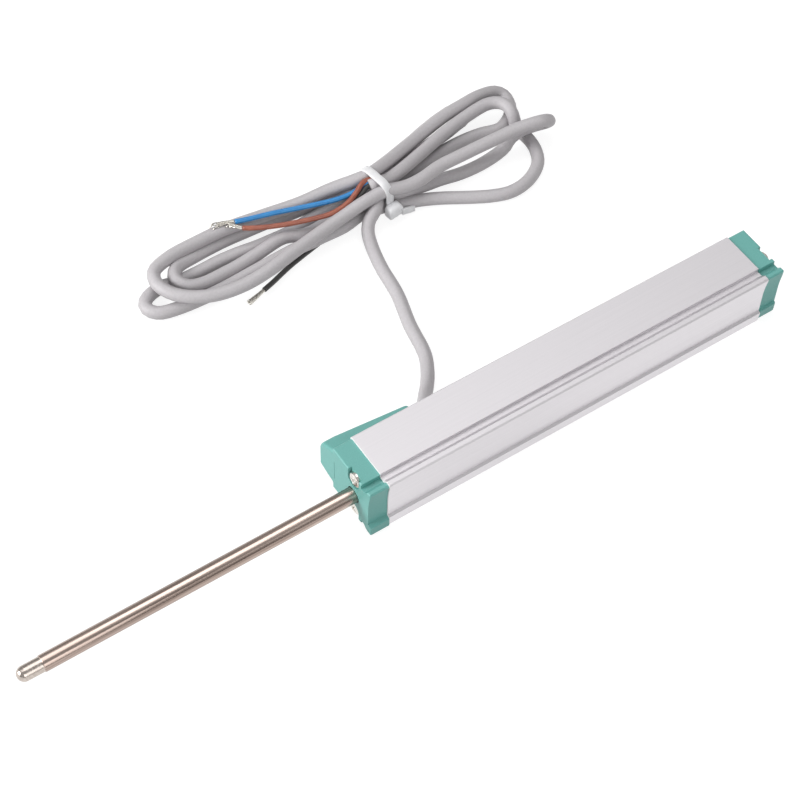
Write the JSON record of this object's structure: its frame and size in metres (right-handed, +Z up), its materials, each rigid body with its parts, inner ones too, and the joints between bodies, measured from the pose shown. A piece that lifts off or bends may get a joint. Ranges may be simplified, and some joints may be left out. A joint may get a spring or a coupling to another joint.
{
  "type": "linear displacement sensor",
  "caption": "Spring-return linear displacement sensor: square silver housing with teal end caps, a steel plunger and a grey cable tied in a hank.",
  "frame": {"origin": "middle of the flat underside of the housing, half way between the outer faces of the two end caps", "axes": "+X along the plunger towards the rear cap (the plunger comes out at -X), +Y towards the cable duct, +Z up"},
  "size_m": [0.228, 0.1112, 0.018],
  "materials": {
    "anodised_aluminium": "silver anodised, satin",
    "teal_moulding": "moulded, satin",
    "black_rubber": "matt",
    "plated_screw": "zinc plated",
    "stainless_rod": "ground and polished",
    "spring_steel": "plain",
    "bronze": "plain",
    "white_acetal": "satin",
    "green_laminate": "gloss",
    "carbon_track": "smooth",
    "silver_track": "smooth",
    "amber_ribbon": "gloss",
    "grey_jacket": "satin",
    "clear_nylon": "translucent",
    "blue_core": "satin",
    "brown_core": "satin",
    "black_core": "satin"
  },
  "bodies": {
    "housing": {"housing_profile": "anodised_aluminium", "front_cap": "teal_moulding", "rear_cap": "teal_moulding", "front_gasket": "black_rubber", "rear_gasket": "black_rubber", "front_screw_top": "plated_screw", "front_screw_bottom": "plated_screw", "rear_screw_top": "plated_screw", "rear_screw_bottom": "plated_screw", "rod_bushing": "bronze", "rod_seal": "black_rubber", "front_stop_ring": "black_rubber", "rear_stop_ring": "black_rubber", "return_spring": "spring_steel", "spring_guide": "spring_steel", "track_board": "green_laminate", "resistance_track": "carbon_track", "collector_track": "silver_track", "lead_ribbon": "amber_ribbon", "cable_clamp": "spring_steel", "cable_lead": "grey_jacket", "cable_hank": "grey_jacket", "tie_strap": "clear_nylon", "tie_head": "clear_nylon", "core_blue": "blue_core", "core_brown": "brown_core", "core_black": "black_core"},
    "plunger": {"rod_tube": "stainless_rod", "rod_tip": "stainless_rod", "stop_collar": "spring_steel", "spring_seat": "bronze", "carriage": "white_acetal", "wiper_contacts": "bronze"}
  },
  "joints": [
    {"name": "plunger_slide", "type": "slide", "parent": "housing", "child": "plunger", "axis": [1, 0, 0], "range_m": [0, 0.075], "stiffness_N_per_m": 40, "springref_m": -0.075, "deforming": ["return_spring"]}
  ]
}
